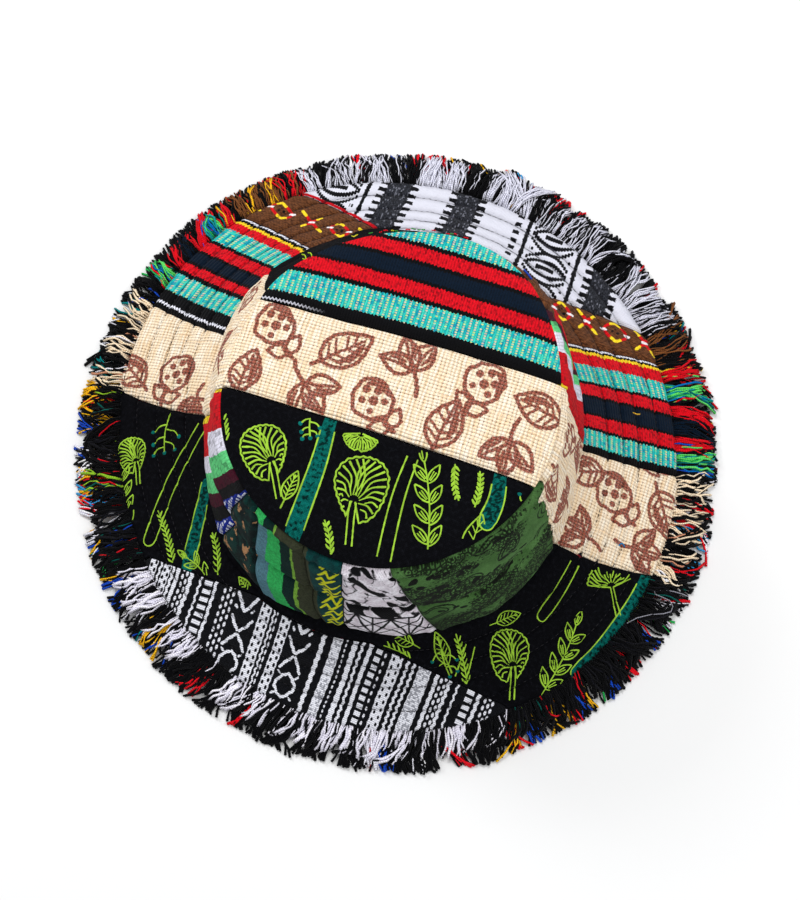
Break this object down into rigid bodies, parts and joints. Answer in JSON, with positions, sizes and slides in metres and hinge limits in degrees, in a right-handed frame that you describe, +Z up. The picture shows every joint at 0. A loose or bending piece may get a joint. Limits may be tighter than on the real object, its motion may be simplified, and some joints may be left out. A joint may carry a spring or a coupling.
{
  "type": "patchwork hemp sun hat",
  "caption": "Soft round sun hat with a standing crown and a sloping brim, patched from woven hemp and cotton strips, its brim edge frayed into a fringe.",
  "frame": {"origin": "middle of the outline on the surface the hat rests on", "axes": "+Z up through the crown, -Y the front, +X one side"},
  "size_m": [0.3102, 0.3097, 0.116],
  "materials": {
    "stripe_cloth": "woven stripes, matt",
    "hemp_cloth": "coarse undyed hemp, printed, matt",
    "black_cloth": "black cotton, printed, matt",
    "ikat_cloth": "white and charcoal ikat, matt",
    "brown_cloth": "brown woven cloth with an embroidered chain, matt",
    "pattern_weave": "white and black woven pattern, matt",
    "side_stripe_cloth": "fine woven stripes, matt",
    "camo_cloth": "dark printed cotton, matt",
    "green_stripe_cloth": "woven green and blue stripes, matt",
    "teal_cloth": "dark teal printed cotton, matt",
    "white_print_cloth": "white printed cotton, matt",
    "olive_cloth": "olive printed cotton, matt",
    "under_cloth": "dark striped cotton, matt",
    "fringe_white_black": "loose cotton threads",
    "fringe_brown": "loose cotton threads",
    "fringe_stripe": "loose cotton threads",
    "fringe_hemp": "loose hemp threads",
    "fringe_black": "loose cotton threads",
    "fringe_mixed": "loose cotton threads, mostly black"
  },
  "bodies": {
    "root": {"crown_top_stripe": "stripe_cloth", "crown_top_hemp": "hemp_cloth", "crown_top_black": "black_cloth", "wall_brown": "brown_cloth", "wall_back_black": "black_cloth", "wall_hemp_left": "hemp_cloth", "wall_stripe_left": "side_stripe_cloth", "wall_camo": "camo_cloth", "wall_green_stripe": "green_stripe_cloth", "wall_teal": "teal_cloth", "wall_white_print": "white_print_cloth", "wall_olive": "olive_cloth", "wall_hemp_right": "hemp_cloth", "wall_stripe_right": "side_stripe_cloth", "brim_hemp_right": "hemp_cloth", "brim_stripe_right": "stripe_cloth", "brim_brown_right": "brown_cloth", "brim_ikat": "ikat_cloth", "brim_brown_left": "brown_cloth", "brim_stripe_left": "stripe_cloth", "brim_hemp_left": "hemp_cloth", "brim_black": "black_cloth", "brim_weave_front": "pattern_weave", "brim_under": "under_cloth", "fringe_hemp_right": "fringe_hemp", "fringe_stripe_right": "fringe_stripe", "fringe_brown_right": "fringe_brown", "fringe_ikat": "fringe_white_black", "fringe_brown_left": "fringe_brown", "fringe_stripe_left": "fringe_stripe", "fringe_hemp_left": "fringe_hemp", "fringe_black_left": "fringe_black", "fringe_weave_front": "fringe_white_black", "fringe_black_right": "fringe_black", "fringe_under": "fringe_mixed"}
  },
  "joints": []
}
